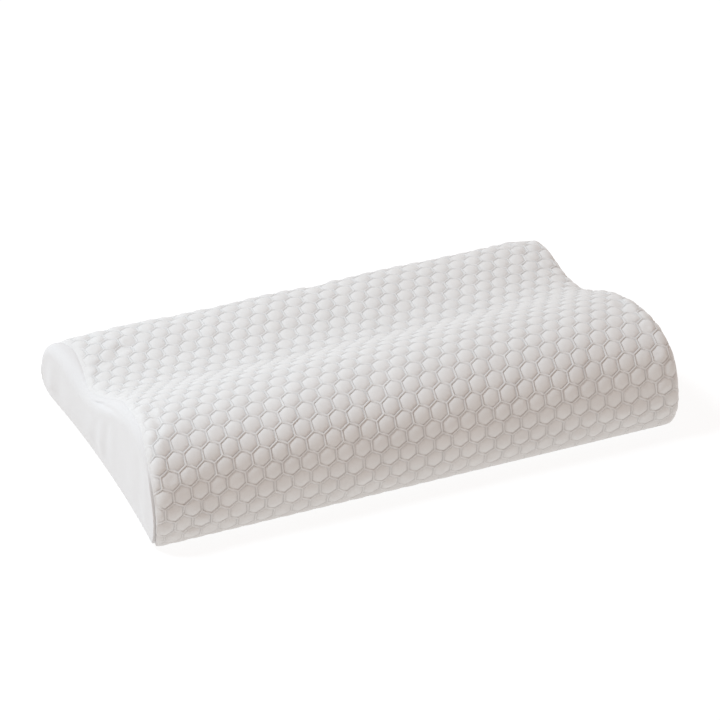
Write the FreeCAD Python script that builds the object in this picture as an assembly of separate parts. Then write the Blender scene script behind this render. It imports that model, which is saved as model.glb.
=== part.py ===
"""Contoured bed pillow with a zipped, quilted cover, modelled in millimetres.

Frame: +X along the pillow, +Y from the high neck ridge to the low rear edge, +Z up.
The origin is the centre of the flat underside.
"""

import FreeCAD
import Part
import math
import os

V = FreeCAD.Vector

# ---- driving dimensions ----
LENGTH = 500.0
DEPTH = 300.0
NECK_RIDGE = 98.0      # height of the high front ridge
VALLEY = 57.0          # height of the dip behind it
REAR_RIDGE = 60.0      # height of the low rear ridge
END_ROUND = 10.0       # rounding between the wrap and the end panels
END_STEPS = 5

# ---- layers, as depths below the outer surface ----
QUILT_THICKNESS = 3.0
END_KNIT_THICKNESS = 1.6
TAPE_OUTER, TAPE_INNER = 3.1, 3.6
LINER_OUTER, LINER_INNER = 5.5, 6.3
FOAM_OUTER = 6.5

# ---- seams between the wrap and the end panels ----
SEAM_INSET = 2.6       # from the end plane to the middle of the welt
WELT_WIDTH = 1.6
FIT_GAP = 0.05         # between pieces that are sewn or bonded together

# ---- zip, in the middle of the rear face ----
ZIP_HEIGHT = 23.0      # of the chain above the underside
ZIP_WINDOW_LENGTH = 430.0
ZIP_WINDOW_WIDTH = 10.0
CHAIN_LENGTH = 420.0
TAPE_WIDTH = 13.0
TAPE_OVERRUN = 12.0    # tape past each end of the window
CHAIN_GAP = 1.4        # between the two coils, where the slider's wedge runs
COIL_WIDTH = 1.7
COIL_THICKNESS = 1.5
SLIDER_LENGTH = 10.0
SLIDER_WIDTH = 8.4
SLIDER_REST_X = 204.0  # the slider's centre with the zip closed
STITCH_LINE = 8.5      # from the chain's middle to each row of stitches
THREAD = 0.5

REAR = DEPTH / 2


def outline_points():
    """The cross-section's driving points (y, z), from the underside round the front to the back."""
    front = -DEPTH / 2
    return [
        (front + 17, 0),
        (front + 7, 4.5),
        (front + 1.5, 15),
        (front, 31),
        (front + 2.5, 51),
        (front + 9.5, 69.5),
        (front + 22, 84.5),
        (front + 40, NECK_RIDGE - 4),
        (front + 63, NECK_RIDGE),
        (front + 89, NECK_RIDGE - 2.8),
        (front + 117, NECK_RIDGE - 11.8),
        (front + 145, VALLEY + 16.4),
        (front + 171, VALLEY + 5.2),
        (front + 198, VALLEY + 0.2),
        (front + 224, VALLEY + 0.2),
        (front + 249, REAR_RIDGE - 0.2),
        (front + 270, REAR_RIDGE - 1.2),
        (front + 286, REAR_RIDGE - 8.5),
        (REAR - 3.4, 41),
        (REAR, ZIP_HEIGHT),
        (REAR - 1.3, 13),
        (REAR - 7, 4.5),
        (REAR - 17, 0),
    ]


def outline_curve(points):
    """A smooth curve through (y, z) points that meets the flat underside without a corner at both ends."""
    along = V(0, -1, 0)
    curve = Part.BSplineCurve()
    curve.interpolate(Points=points, InitialTangent=along, FinalTangent=along, Scale=False)
    return curve


def outline_wire(x, depth_below):
    """The closed cross-section at x, as far inside the outer surface as depth_below says."""
    outer = outline_curve([V(x, y, z) for y, z in outline_points()])
    steps = 3 * len(outline_points())
    first, last = outer.FirstParameter, outer.LastParameter
    inset = []
    for i in range(steps + 1):
        at = first + (last - first) * i / steps
        inward = outer.tangent(at)[0].cross(V(1, 0, 0))
        inset.append(outer.value(at) + inward * depth_below)
    curve = outline_curve(inset)
    flat = Part.LineSegment(inset[-1], inset[0])
    return Part.Wire([curve.toShape(), flat.toShape()])


def envelope(depth_below):
    """The whole pillow's rounded block, that far inside the outer surface."""
    half, radius = LENGTH / 2 - depth_below, END_ROUND - depth_below
    rims = []
    for i in range(END_STEPS + 1):
        turn = math.pi / 2 * i / END_STEPS
        rims.append((half - radius * (1 - math.sin(turn)), depth_below + radius * (1 - math.cos(turn))))
    right = [outline_wire(x, depth) for x, depth in rims]
    left = [outline_wire(-x, depth) for x, depth in reversed(rims)]
    return Part.makeLoft(left + right, True, True)


def slab(x_low, x_high, y_low=-400.0, y_high=400.0, z_low=-50.0, z_high=300.0):
    """A plain box between two corners."""
    return Part.makeBox(x_high - x_low, y_high - y_low, z_high - z_low, V(x_low, y_low, z_low))


def save(name, shape):
    """Write one node, after a plain check of its solids."""
    for solid in shape.Solids:
        if not solid.isValid() or solid.Volume <= 0:
            raise ValueError(f"{name} holds a bad solid")
    shape.exportStep(f"parts/{name}.step")
    box = shape.BoundBox
    print(f"{name}: {len(shape.Solids)} solid(s), {shape.Volume / 1000:.2f} cm3, "
          f"{box.XLength:.1f} x {box.YLength:.1f} x {box.ZLength:.1f}")


def cover(outer, quilt_inner, end_inner):
    """The washable cover: one quilted wrap, two plain end panels and the welt between them."""
    end = LENGTH / 2
    seam_in = end - SEAM_INSET - WELT_WIDTH / 2
    seam_out = end - SEAM_INSET + WELT_WIDTH / 2
    quilt = outer.cut(quilt_inner)
    wrap = quilt.common(slab(-seam_in, seam_in))
    window = slab(-ZIP_WINDOW_LENGTH / 2, ZIP_WINDOW_LENGTH / 2, REAR - 20, REAR + 5,
                  ZIP_HEIGHT - ZIP_WINDOW_WIDTH / 2, ZIP_HEIGHT + ZIP_WINDOW_WIDTH / 2)
    save("cover_wrap", wrap.cut(window))
    plain = outer.cut(end_inner)
    for side, sign in (("left", -1), ("right", 1)):
        near, far = sorted((sign * (seam_out + FIT_GAP), sign * (end + 1)))
        save(f"cover_end_{side}", plain.common(slab(near, far)))
        near, far = sorted((sign * (seam_in + FIT_GAP), sign * seam_out))
        save(f"seam_welt_{side}", plain.common(slab(near, far)))


def liner_and_core():
    """The thin sewn liner and the moulded foam block inside it."""
    outer, inner = envelope(LINER_OUTER), envelope(LINER_INNER)
    shell = outer.cut(inner)
    seam = LENGTH / 2 - LINER_OUTER - 2 * SEAM_INSET
    save("liner_wrap", shell.common(slab(-seam, seam)))
    save("liner_end_left", shell.common(slab(-LENGTH, -seam - FIT_GAP)))
    save("liner_end_right", shell.common(slab(seam + FIT_GAP, LENGTH)))
    closing_y = REAR - 30
    thread = slab(-seam, seam, closing_y, closing_y + THREAD, LINER_OUTER - THREAD - FIT_GAP,
                  LINER_OUTER - FIT_GAP)
    save("liner_closing_seam", thread)
    save("foam_core", envelope(FOAM_OUTER))


def zip_tapes_and_stitches(outer):
    """The two tapes behind the window, and the two rows of stitches that hold them."""
    half = ZIP_WINDOW_LENGTH / 2 + TAPE_OVERRUN
    band = envelope(TAPE_OUTER).cut(envelope(TAPE_INNER))
    proud = envelope(-THREAD).cut(outer)
    inner_edge = CHAIN_GAP / 2 - 0.05
    for side, sign in (("upper", 1), ("lower", -1)):
        low, high = sorted((ZIP_HEIGHT + sign * inner_edge, ZIP_HEIGHT + sign * (inner_edge + TAPE_WIDTH)))
        save(f"zip_tape_{side}", band.common(slab(-half, half, 0, 400, low, high)))
        line = ZIP_HEIGHT + sign * STITCH_LINE
        save(f"zip_stitch_{side}",
             proud.common(slab(-half, half, 0, 400, line - THREAD / 2, line + THREAD / 2)))


def zip_chain():
    """The two coils, lying on the tapes, with their stops."""
    foot = REAR - TAPE_OUTER + FIT_GAP
    half = CHAIN_LENGTH / 2
    for side, sign in (("upper", 1), ("lower", -1)):
        low, high = sorted((ZIP_HEIGHT + sign * CHAIN_GAP / 2, ZIP_HEIGHT + sign * (CHAIN_GAP / 2 + COIL_WIDTH)))
        coil = slab(-half, half, foot, foot + COIL_THICKNESS, low, high)
        long_edges = [e for e in coil.Edges if e.Length > LENGTH / 2]
        save(f"zip_coil_{side}", coil.makeFillet(COIL_THICKNESS * 0.3, long_edges))
    stop_length, stop_height = 2.2, 1.9
    reach = CHAIN_GAP / 2 + COIL_WIDTH
    stops = [slab(half + FIT_GAP, half + stop_length, foot, foot + stop_height,
                  *sorted((ZIP_HEIGHT + sign * CHAIN_GAP / 2, ZIP_HEIGHT + sign * reach)))
             for sign in (1, -1)]
    save("zip_top_stops", Part.makeCompound(stops))
    save("zip_bottom_stop", slab(-half - stop_length, -half - FIT_GAP, foot, foot + stop_height,
                                 ZIP_HEIGHT - reach, ZIP_HEIGHT + reach))


def rounded_plate(x_low, x_high, y_low, y_high, z_low, z_high, radius):
    """A plate lying in XZ whose four corners are rounded."""
    plate = slab(x_low, x_high, y_low, y_high, z_low, z_high)
    corners = [e for e in plate.Edges if e.BoundBox.YLength > 0.9 * (y_high - y_low)]
    return plate.makeFillet(radius, corners)


PLATE = 0.8
BACK_PLATE_Y = REAR - 5.1                              # its inner face
FRONT_PLATE_Y = REAR - TAPE_OUTER + COIL_THICKNESS + 0.4
BAR_RADIUS = 0.5
BAR_Y = FRONT_PLATE_Y + PLATE + 1.3                    # the pull's hinge axis
ARCH_HALF = 3.6
ARCH_WIDTH = 1.6
ARCH_BEAM = 1.0
TAB_LENGTH = 24.0
TAB_WIDTH = 5.4
TAB_THICKNESS = 1.0


def zip_slider():
    """Two plates joined by the wedge between the coils, side lips, and the arch that holds the pull."""
    low, high = SLIDER_REST_X - SLIDER_LENGTH / 2, SLIDER_REST_X + SLIDER_LENGTH / 2
    half = SLIDER_WIDTH / 2
    z_low, z_high = ZIP_HEIGHT - half, ZIP_HEIGHT + half
    body = rounded_plate(low, high, FRONT_PLATE_Y, FRONT_PLATE_Y + PLATE, z_low, z_high, 1.8)
    back = rounded_plate(low, high, BACK_PLATE_Y, BACK_PLATE_Y + PLATE, z_low + 0.4, z_high - 0.4, 1.8)
    wedge = slab(SLIDER_REST_X + 1.0, high - 0.6, BACK_PLATE_Y + PLATE / 2, FRONT_PLATE_Y + PLATE / 2,
                 ZIP_HEIGHT - 0.3, ZIP_HEIGHT + 0.3)
    body = body.fuse([back, wedge])
    lip_depth = 1.2
    for sign in (1, -1):
        edge = sorted((ZIP_HEIGHT + sign * (half - PLATE), ZIP_HEIGHT + sign * half))
        body = body.fuse(slab(low + 1.8, high - 1.8, FRONT_PLATE_Y - lip_depth, FRONT_PLATE_Y + 0.1, *edge))
    crown = BAR_Y + BAR_RADIUS + 0.4
    z_arch = (ZIP_HEIGHT - ARCH_WIDTH / 2, ZIP_HEIGHT + ARCH_WIDTH / 2)
    arch = slab(SLIDER_REST_X - ARCH_HALF, SLIDER_REST_X + ARCH_HALF, FRONT_PLATE_Y + PLATE / 2,
                crown + ARCH_BEAM, *z_arch)
    hole = slab(SLIDER_REST_X - ARCH_HALF + ARCH_BEAM, SLIDER_REST_X + ARCH_HALF - ARCH_BEAM,
                FRONT_PLATE_Y + PLATE, crown, *z_arch)
    shoulders = [e for e in arch.Edges
                 if e.BoundBox.ZLength > 1 and e.BoundBox.YMin > crown]
    arch = arch.makeFillet(ARCH_BEAM * 0.9, shoulders).cut(hole)
    save("zip_slider", body.fuse(arch).removeSplitter())


def zip_pull():
    """The pull tab: a bar under the slider's arch, two arms round it, and a flat grip towards -X."""
    half = TAB_WIDTH / 2
    window_half = ARCH_WIDTH / 2 + 0.6
    clear = ARCH_HALF + ARCH_BEAM + 1.2
    y_low, y_high = BAR_Y - TAB_THICKNESS / 2, BAR_Y + TAB_THICKNESS / 2
    grip = rounded_plate(SLIDER_REST_X - TAB_LENGTH, SLIDER_REST_X, y_low, y_high,
                         ZIP_HEIGHT - half, ZIP_HEIGHT + half, 1.2)
    grip = grip.cut(slab(SLIDER_REST_X - clear, SLIDER_REST_X + 1, y_low - 1, y_high + 1,
                         ZIP_HEIGHT - window_half, ZIP_HEIGHT + window_half))
    eye_radius = 1.6
    eye = Part.makeCylinder(eye_radius, TAB_WIDTH * 0.7,
                            V(SLIDER_REST_X - TAB_LENGTH + 4.2, y_low - 1, ZIP_HEIGHT), V(0, 1, 0))
    bar = Part.makeCylinder(BAR_RADIUS, TAB_WIDTH, V(SLIDER_REST_X, BAR_Y, ZIP_HEIGHT - half), V(0, 0, 1))
    save("zip_pull_tab", grip.cut(eye).fuse(bar).removeSplitter())


def care_label():
    """A folded label sewn into the right end seam low on the rear, lying on the end panel."""
    out = LENGTH / 2 + 0.1
    leaf, width, drop = 0.3, 28.0, 26.0
    y_low, z_top = REAR - 62.0, 46.0
    front = slab(out + leaf + 0.1, out + 2 * leaf + 0.1, y_low, y_low + width, z_top - drop, z_top)
    back = slab(out, out + leaf, y_low, y_low + width, z_top - drop, z_top)
    fold = slab(out, out + 2 * leaf + 0.1, y_low, y_low + width, z_top - drop - leaf, z_top - drop)
    save("care_label", front.fuse([back, fold]).removeSplitter())
    stitch = slab(out + 2 * leaf + 0.1 + FIT_GAP, out + 2 * leaf + 0.4, y_low + 1, y_low + width - 1,
                  z_top - 2.4, z_top - 1.9)
    save("label_stitch", stitch)


def main():
    os.makedirs("parts", exist_ok=True)
    outer = envelope(0)
    cover(outer, envelope(QUILT_THICKNESS), envelope(END_KNIT_THICKNESS))
    liner_and_core()
    zip_tapes_and_stitches(outer)
    zip_chain()
    zip_slider()
    zip_pull()
    care_label()


main()
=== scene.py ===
"""A contoured bed pillow in a honeycomb knit cover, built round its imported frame."""

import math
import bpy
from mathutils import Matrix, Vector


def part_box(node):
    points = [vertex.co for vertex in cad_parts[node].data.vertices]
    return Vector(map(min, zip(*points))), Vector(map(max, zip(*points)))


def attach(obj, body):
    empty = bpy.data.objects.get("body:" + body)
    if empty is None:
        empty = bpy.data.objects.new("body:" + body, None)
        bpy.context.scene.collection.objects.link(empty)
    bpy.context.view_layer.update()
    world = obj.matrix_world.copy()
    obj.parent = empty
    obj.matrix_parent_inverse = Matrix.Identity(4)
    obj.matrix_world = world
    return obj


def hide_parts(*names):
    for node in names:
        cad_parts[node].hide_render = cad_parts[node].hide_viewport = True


bl_info = {
    "name": "Contoured Bed Pillow",
    "version": (1, 0, 0),
    "blender": (4, 5, 0),
    "location": "View3D > Sidebar > Pillow",
    "description": "Builds a contoured foam pillow in a honeycomb knit cover with a rear zip",
    "category": "Add Mesh",
}

import bmesh
import bpy
import numpy as np
from mathutils import Vector

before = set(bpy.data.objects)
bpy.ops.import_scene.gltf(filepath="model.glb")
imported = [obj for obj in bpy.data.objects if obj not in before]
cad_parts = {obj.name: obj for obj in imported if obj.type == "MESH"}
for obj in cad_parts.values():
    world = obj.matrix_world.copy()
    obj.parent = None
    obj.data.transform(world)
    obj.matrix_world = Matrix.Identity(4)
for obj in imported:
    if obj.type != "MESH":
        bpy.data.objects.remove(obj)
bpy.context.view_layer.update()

MM = 0.001


# ---------------------------------------------------------------- settings


class PillowShape(bpy.types.PropertyGroup):
    """Sizes of the soft body under the cover."""

    length: bpy.props.FloatProperty(
        name="Length", description="Length of the pillow between its end panels",
        default=0.500, unit="LENGTH")
    depth: bpy.props.FloatProperty(
        name="Depth", description="Depth from the neck ridge's front to the rear edge",
        default=0.300, unit="LENGTH")
    top_rounding: bpy.props.FloatProperty(
        name="Top edge rounding",
        description="How round the wrap turns onto the end panels along the top",
        default=0.015, unit="LENGTH")
    base_rounding: bpy.props.FloatProperty(
        name="Lower edge rounding",
        description="The same rounding along the front, rear and underside",
        default=0.0052, unit="LENGTH")
    end_hollow: bpy.props.FloatProperty(
        name="End hollow", description="How far the end panels draw in between the corners",
        default=0.0056, unit="LENGTH")
    seam_on_top: bpy.props.FloatProperty(
        name="Seam on top",
        description="How far in from the end's edge the seam crosses the neck ridge",
        default=0.0145, unit="LENGTH")
    end_crown: bpy.props.FloatProperty(
        name="End crown", description="How far the middle of an end panel swells out",
        default=0.0015, unit="LENGTH")
    unevenness: bpy.props.FloatProperty(
        name="Unevenness", description="Slow rise and fall of the sewn cover over the foam",
        default=0.0009, unit="LENGTH")


class PillowQuilt(bpy.types.PropertyGroup):
    """Sizes of the honeycomb in the knit."""

    pitch: bpy.props.FloatProperty(
        name="Cell pitch", description="Width of one cell, side to side",
        default=0.01667, unit="LENGTH")
    puff: bpy.props.FloatProperty(
        name="Cell puff", description="How high the middle of a cell stands above its groove",
        default=0.0019, unit="LENGTH")
    rib: bpy.props.FloatProperty(
        name="Rib height", description="Height of the thin rib between two cells above the grooves",
        default=0.0012, unit="LENGTH")
    drift: bpy.props.FloatProperty(
        name="Row drift",
        description="How far a row of cells climbs from the left end to the right",
        default=0.011, unit="LENGTH")
    shift_along: bpy.props.FloatProperty(
        name="Shift along", description="Where the pattern starts along the length",
        default=0.0, unit="LENGTH")
    shift_round: bpy.props.FloatProperty(
        name="Shift round", description="Where the pattern starts round the section",
        default=0.0, unit="LENGTH")


class PillowColours(bpy.types.PropertyGroup):
    """Colours of the fabrics and fittings."""

    quilt: bpy.props.FloatVectorProperty(
        name="Quilted knit", description="Colour of the honeycomb knit",
        subtype="COLOR", size=3, min=0, max=1, default=(0.688, 0.675, 0.658))
    plain: bpy.props.FloatVectorProperty(
        name="Plain knit", description="Colour of the end panels",
        subtype="COLOR", size=3, min=0, max=1, default=(0.668, 0.655, 0.645))
    trim: bpy.props.FloatVectorProperty(
        name="Trim", description="Colour of the seam tape, zip tape and thread",
        subtype="COLOR", size=3, min=0, max=1, default=(0.67, 0.665, 0.657))
    foam: bpy.props.FloatVectorProperty(
        name="Foam", description="Colour of the foam core",
        subtype="COLOR", size=3, min=0, max=1, default=(0.83, 0.79, 0.66))


# ---------------------------------------------------------------- outline


OUTLINE = (
    # share of the depth from the front, height in millimetres: from the rear corner
    # under the pillow to the front, over the ridges and down to the zip
    (0.998, 22), (0.986, 9), (0.960, 2.2), (0.920, 0), (0.800, 0), (0.500, 0), (0.200, 0),
    (0.080, 0), (0.044, 1.8), (0.025, 9), (0.009, 22), (0.003, 36), (0.008, 52), (0.026, 68),
    (0.062, 83), (0.120, 93.2), (0.200, 97.5), (0.290, 94.8), (0.385, 86.0), (0.480, 73.2), (0.565, 62.6),
    (0.650, 57.6), (0.740, 57.4), (0.825, 60.2), (0.895, 59.6), (0.950, 54.0), (0.986, 41),
)
MIDDLE_SWELL = (
    # share of the depth from the front, millimetres that the middle of the length stands
    # above the ends: fuller over the neck ridge, deeper in the valley
    (0.1, 0), (0.2, 1.5), (0.3, 3), (0.4, 2), (0.5, -2), (0.57, -5), (0.65, -3), (0.75, 0),
)
CORNER_DROOP = 0.0035             # how far the right rear corner hangs
SECTION_SAMPLES = 1600


def closed_spline(points, samples):
    """Evenly spaced points on the smooth closed curve through the given ones."""
    pts = np.array(points, float)
    n = len(pts)
    chord = np.linalg.norm(np.roll(pts, -1, 0) - pts, axis=1) ** 0.75
    system = np.zeros((n, n))
    right = np.zeros((n, 2))
    for i in range(n):
        before, after = chord[i - 1], chord[i]
        system[i, i - 1] = after
        system[i, i] = 2 * (before + after)
        system[i, (i + 1) % n] = before
        step_back = (pts[i] - pts[i - 1]) / before
        step_on = (pts[(i + 1) % n] - pts[i]) / after
        right[i] = 3 * (after * step_back + before * step_on)
    slopes = np.linalg.solve(system, right)
    curve = []
    for i in range(n):
        t = np.linspace(0, 1, 60, endpoint=False)[:, None]
        a, b = pts[i], pts[(i + 1) % n]
        sa, sb = slopes[i] * chord[i], slopes[(i + 1) % n] * chord[i]
        curve.append((2 * t**3 - 3 * t**2 + 1) * a + (t**3 - 2 * t**2 + t) * sa
                     + (3 * t**2 - 2 * t**3) * b + (t**3 - t**2) * sb)
    curve = np.vstack(curve + [pts[:1]])
    along = np.concatenate([[0], np.cumsum(np.linalg.norm(np.diff(curve, axis=0), axis=1))])
    even = np.linspace(0, along[-1], samples, endpoint=False)
    return np.column_stack([np.interp(even, along, curve[:, k]) for k in (0, 1)]), along[-1]


def smoothed(values, width):
    """Values on a closed loop, averaged over a bell of that many samples each side."""
    reach = np.arange(-3 * width, 3 * width + 1)
    weights = np.exp(-0.5 * (reach / width) ** 2)
    weights /= weights.sum()
    total = sum(w * np.roll(values, -k, axis=0) for k, w in zip(reach, weights))
    return total


def eased(x, low, high):
    """0 below low, 1 above high, and a smooth step between."""
    t = np.clip((x - low) / (high - low), 0, 1)
    return t * t * (3 - 2 * t)


END_LENGTH = 0.020                # the part of each end in which the edges turn over
SEAM_TURN = math.radians(70)      # how far round the front, rear and lower edges the seam lies
SEAM_ON_TOP = (
    # share of the depth from the front, how far in from the end's edge the top seam lies,
    # 1 at the neck ridge: it runs straighter than the outline does
    (0.03, 0.3), (0.10, 0.55), (0.20, 0.95), (0.30, 1.05), (0.42, 1.4), (0.52, 1.3),
    (0.64, 0.9), (0.76, 1.4), (0.86, 1.6), (0.96, 1.3),
)


class Section:
    """The pillow's cross-section, measured round from the rear, under it, up the front and over."""

    def __init__(self, shape):
        front = -shape.depth / 2
        points = [(front + share * shape.depth, height * MM) for share, height in OUTLINE]
        self.points, self.girth = closed_spline(points, SECTION_SAMPLES)
        self.points[:, 1] = np.maximum(self.points[:, 1], 0)
        way = np.roll(self.points, -1, 0) - np.roll(self.points, 1, 0)
        way /= np.linalg.norm(way, axis=1)[:, None]
        self.normals = np.column_stack([-way[:, 1], way[:, 0]])
        spread = smoothed(self.normals, 40)
        self.spread = spread / np.linalg.norm(spread, axis=1)[:, None]
        height, facing_up = self.points[:, 1], eased(self.normals[:, 1], 0.15, 0.85)
        high = np.maximum(facing_up, 0.65 * eased(height, 0.015, 0.060))
        high *= 1 - 0.5 * eased(self.points[:, 0], 0.055, 0.115)
        under = eased(-self.normals[:, 1], 0.15, 0.85)
        self.rounding = smoothed(
            shape.base_rounding
            + (shape.top_rounding - shape.base_rounding) * np.maximum(high, 0.4 * under), 20)
        self.on_top = smoothed(facing_up, 12)
        self.under = smoothed(eased(-self.normals[:, 1], 0.1, 0.8), 10)
        self.edge_far = END_LENGTH + self.rounding * (math.pi / 2 - 1)
        side_in = self.rounding * (math.pi / 2 - SEAM_TURN + 0.5 * under)
        from_front = self.points[:, 0] / shape.depth + 0.5
        top_in = shape.seam_on_top * np.interp(from_front, *np.array(SEAM_ON_TOP).T)
        towards_top = eased(self.normals[:, 1], -0.05, 0.35)
        left = side_in + (top_in - side_in) * towards_top
        right = side_in + (np.maximum(0.25 * top_in, side_in) - side_in) * towards_top
        self.seam_far = {side: self.edge_far - smoothed(seam_in, 8)
                         for side, seam_in in ((-1, left), (1, right))}

    def at(self, table, s):
        """A row of the table for each distance round the section."""
        x = np.asarray(s) / self.girth * SECTION_SAMPLES
        i = np.floor(x).astype(int)
        f = x - i
        a, b = table[i % SECTION_SAMPLES], table[(i + 1) % SECTION_SAMPLES]
        return a * (1 - f)[:, None] + b * f[:, None] if table.ndim > 1 else a * (1 - f) + b * f


class Body:
    """Where a point of the cover lies, from its place along the length and round the section."""

    def __init__(self, shape):
        self.shape = shape
        self.section = Section(shape)
        self.flat_half = shape.length / 2 - END_LENGTH

    def seam_along(self, u, s):
        """How far from the middle the seam lies, on the side that u is on."""
        left, right = (self.section.at(self.section.seam_far[side], s) for side in (-1, 1))
        return self.flat_half + np.where(np.asarray(u) < 0, left, right)

    def surface(self, u, s, lift=0.0, depth=0.0):
        """The plain shape: points for distances u along, over the end's edge, and s round."""
        u, s = np.asarray(u, float), np.asarray(s, float)
        far = np.abs(u) - self.flat_half
        radius = self.section.at(self.section.rounding, s)
        before_turn = END_LENGTH - radius
        turn = np.clip((far - before_turn) / radius, 0, math.pi / 2)
        inset = radius * (1 - np.cos(turn))
        near = -self.section.at(self.section.normals, s)
        wide = -self.section.at(self.section.spread, s)
        mix = np.clip(inset / 0.010, 0, 1)[:, None]
        inward = near * (1 - mix) + wide * mix
        x = self.flat_half + np.minimum(far, before_turn) + (radius + lift - depth) * np.sin(turn)
        yz = self.section.at(self.section.points, s)
        yz = yz + inward * inset[:, None] - near * ((lift - depth) * np.cos(turn))[:, None]
        return np.column_stack([np.sign(u) * x, yz[:, 0], yz[:, 1]])

    def place(self, u, s, lift, depth=0.0):
        """Points of the sewn pillow for distances u along and s round, lifted off its surface."""
        return self.settle(self.surface(u, s, lift, depth))

    def settle(self, p):
        """The sewn cover's own pull and slow unevenness."""
        shape = self.shape
        x, y, z = p.T
        half = shape.length / 2
        to_end = eased(np.abs(x), half - 0.12, half)
        middle = np.clip(1 - ((y - 0.005) / (0.47 * shape.depth)) ** 2, 0, 1)
        out = p.copy()
        out[:, 0] = x - np.sign(x) * shape.end_hollow * middle * to_end
        roll = (np.sin(x * 23 + 1.1) * np.sin(y * 31 + z * 40 + 0.4)
                + 0.6 * np.sin(x * 51 - y * 37 + 2.0) + 0.4 * np.sin(y * 77 + x * 17 + 0.7))
        above = eased(z, 0.004, 0.03)
        share, swell = np.array(MIDDLE_SWELL).T
        swollen = np.interp(y / shape.depth + 0.5, share, swell * MM)
        swollen *= (1 - eased(np.abs(x), 0.35 * half, 0.96 * half)) * eased(z, 0.03, 0.055)
        z = z + swollen
        rear_corner = eased(x, half - 0.032, half) * eased(y, 0.095, 0.145)
        z = z - CORNER_DROOP * rear_corner * eased(z, 0.015, 0.05)
        uneven = shape.unevenness * roll * above
        out[:, 2] = z + uneven * 0.55
        out[:, 1] = y + uneven * 0.4 * np.sign(y) * eased(np.abs(y), 0.10, 0.15)
        return out


# ---------------------------------------------------------------- mesh helpers


def new_piece(name, verts, faces, smooth=True):
    """A mesh object in the scene from points and faces."""
    mesh = bpy.data.meshes.new(name)
    mesh.from_pydata([tuple(v) for v in verts], [], [tuple(f) for f in faces])
    mesh.validate()
    mesh.update()
    mesh.polygons.foreach_set("use_smooth", [smooth] * len(mesh.polygons))
    piece = bpy.data.objects.new(name, mesh)
    bpy.context.scene.collection.objects.link(piece)
    return piece


def weld(piece):
    """Join the points of a piece that lie in the same place."""
    mesh = bmesh.new()
    mesh.from_mesh(piece.data)
    bmesh.ops.remove_doubles(mesh, verts=mesh.verts, dist=0.00002)
    mesh.to_mesh(piece.data)
    mesh.free()
    piece.data.polygons.foreach_set("use_smooth", [True] * len(piece.data.polygons))
    return piece


def finish_piece(piece, body, nodes, material):
    """Material, body, the nodes it stands for and its slot, all in one."""
    piece.data.materials.clear()
    piece.data.materials.append(material)
    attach(piece, body)
    if nodes:
        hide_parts(*nodes)
    return piece


def tube(path, radius, sides=8, closed=False, across=None):
    """Points and faces of a round tube along a path."""
    path = np.array(path, float)
    n = len(path)
    if closed:
        ahead = np.roll(path, -1, 0) - np.roll(path, 1, 0)
    else:
        ahead = np.gradient(path, axis=0)
    ahead /= np.linalg.norm(ahead, axis=1)[:, None]
    up = np.array(across if across is not None else (0, 0, 1.0), float)
    side = np.cross(ahead, up)
    weak = np.linalg.norm(side, axis=1) < 1e-6
    side[weak] = np.cross(ahead[weak], (0, 1.0, 0))
    side /= np.linalg.norm(side, axis=1)[:, None]
    top = np.cross(side, ahead)
    verts, faces = [], []
    for k in range(n):
        for j in range(sides):
            a = 2 * math.pi * j / sides
            verts.append(path[k] + radius * (math.cos(a) * side[k] + math.sin(a) * top[k]))
    last = n if closed else n - 1
    for k in range(last):
        for j in range(sides):
            a, b = k * sides + j, k * sides + (j + 1) % sides
            c, d = ((k + 1) % n) * sides + (j + 1) % sides, ((k + 1) % n) * sides + j
            faces.append((a, d, c, b))
    if not closed:
        faces.append(tuple(range(sides)))
        faces.append(tuple(reversed(range((n - 1) * sides, n * sides))))
    return verts, faces


def joined(parts):
    """Several (points, faces) as one."""
    verts, faces = [], []
    for v, f in parts:
        base = len(verts)
        verts.extend(v)
        faces.extend(tuple(i + base for i in face) for face in f)
    return verts, faces


def stitches(points, length, gap, radius, outward, sides=6):
    """A row of sewn stitches along a path: each rises from the cloth, runs and dips back in."""
    points = np.array(points, float)
    outward = np.array(outward, float)
    if outward.ndim == 1:
        outward = np.repeat(outward[None], len(points), 0)
    along = np.concatenate([[0], np.cumsum(np.linalg.norm(np.diff(points, axis=0), axis=1))])
    parts = []
    count = int((along[-1] - length) / (length + gap))
    for i in range(count):
        start = i * (length + gap) + gap
        t = start + length * np.array([0, 0.12, 0.35, 0.65, 0.88, 1.0])
        centre = np.column_stack([np.interp(t, along, points[:, k]) for k in range(3)])
        out = np.column_stack([np.interp(t, along, outward[:, k]) for k in range(3)])
        rise = radius * np.array([-1.2, 0.1, 0.75, 0.75, 0.1, -1.2])
        parts.append(tube(centre + out * rise[:, None], radius, sides, across=out[2]))
    return joined(parts)


# ---------------------------------------------------------------- node groups and materials


def node(tree, kind, at, **values):
    """A shader node at a place in the tree, with some of its settings."""
    made = tree.nodes.new(kind)
    made.location = at
    for name, value in values.items():
        setattr(made, name, value)
    return made


def noise(tree, at, vector, scale, detail):
    """Soft noise over a vector, as its factor."""
    made = node(tree, "ShaderNodeTexNoise", at)
    made.inputs["Scale"].default_value = scale
    made.inputs["Detail"].default_value = detail
    tree.links.new(vector, made.inputs["Vector"])
    return made.outputs["Fac"]


def mapped(tree, at, value, **limits):
    """A value spread between the limits given, as From Min, From Max, To Min or To Max."""
    made = node(tree, "ShaderNodeMapRange", at)
    for name, limit in limits.items():
        made.inputs[name.replace("_", " ")].default_value = limit
    tree.links.new(value, made.inputs["Value"])
    return made.outputs[0]


def worked_out(tree, at, operation, *terms):
    """The result of a sum on sockets and plain numbers."""
    made = node(tree, "ShaderNodeMath", at, operation=operation)
    for socket, term in zip(made.inputs, terms):
        if isinstance(term, bpy.types.NodeSocket):
            tree.links.new(term, socket)
        else:
            socket.default_value = term
    return made.outputs[0]


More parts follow.
